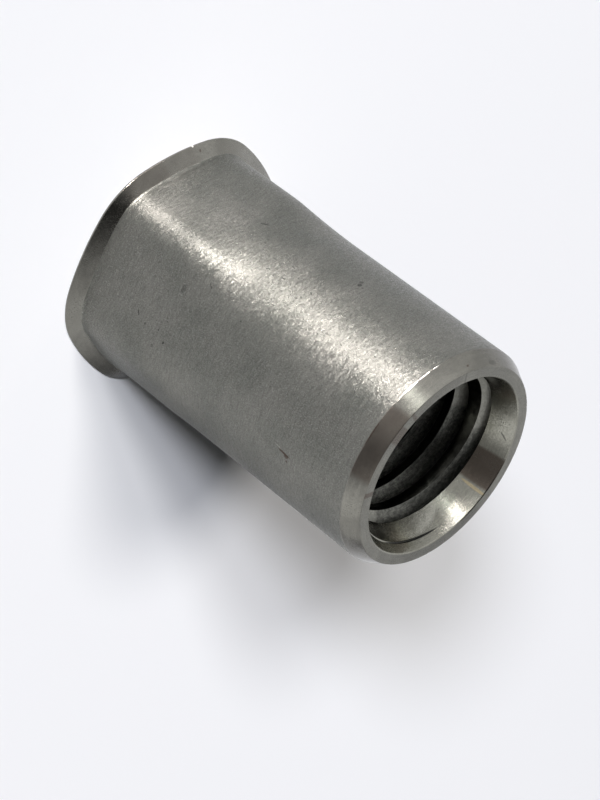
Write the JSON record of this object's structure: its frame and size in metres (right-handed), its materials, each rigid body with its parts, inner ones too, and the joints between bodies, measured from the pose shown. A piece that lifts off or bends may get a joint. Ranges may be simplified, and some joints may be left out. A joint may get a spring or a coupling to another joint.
{
  "type": "rivet nut",
  "caption": "Blind rivet nut with a part-hexagonal shank, a small flared head and an internal thread, as bought, before setting.",
  "frame": {"origin": "on the surface the nut stands on, at the middle of its head", "axes": "+Z along the nut's axis, from the head to the open round end; +X through a corner of the hexagon"},
  "size_m": [0.0152, 0.0148, 0.0215],
  "materials": {
    "satin_steel": "satin, fine-grained stainless steel with small handling marks"
  },
  "bodies": {
    "root": {"rivet_nut": "satin_steel"}
  },
  "joints": []
}
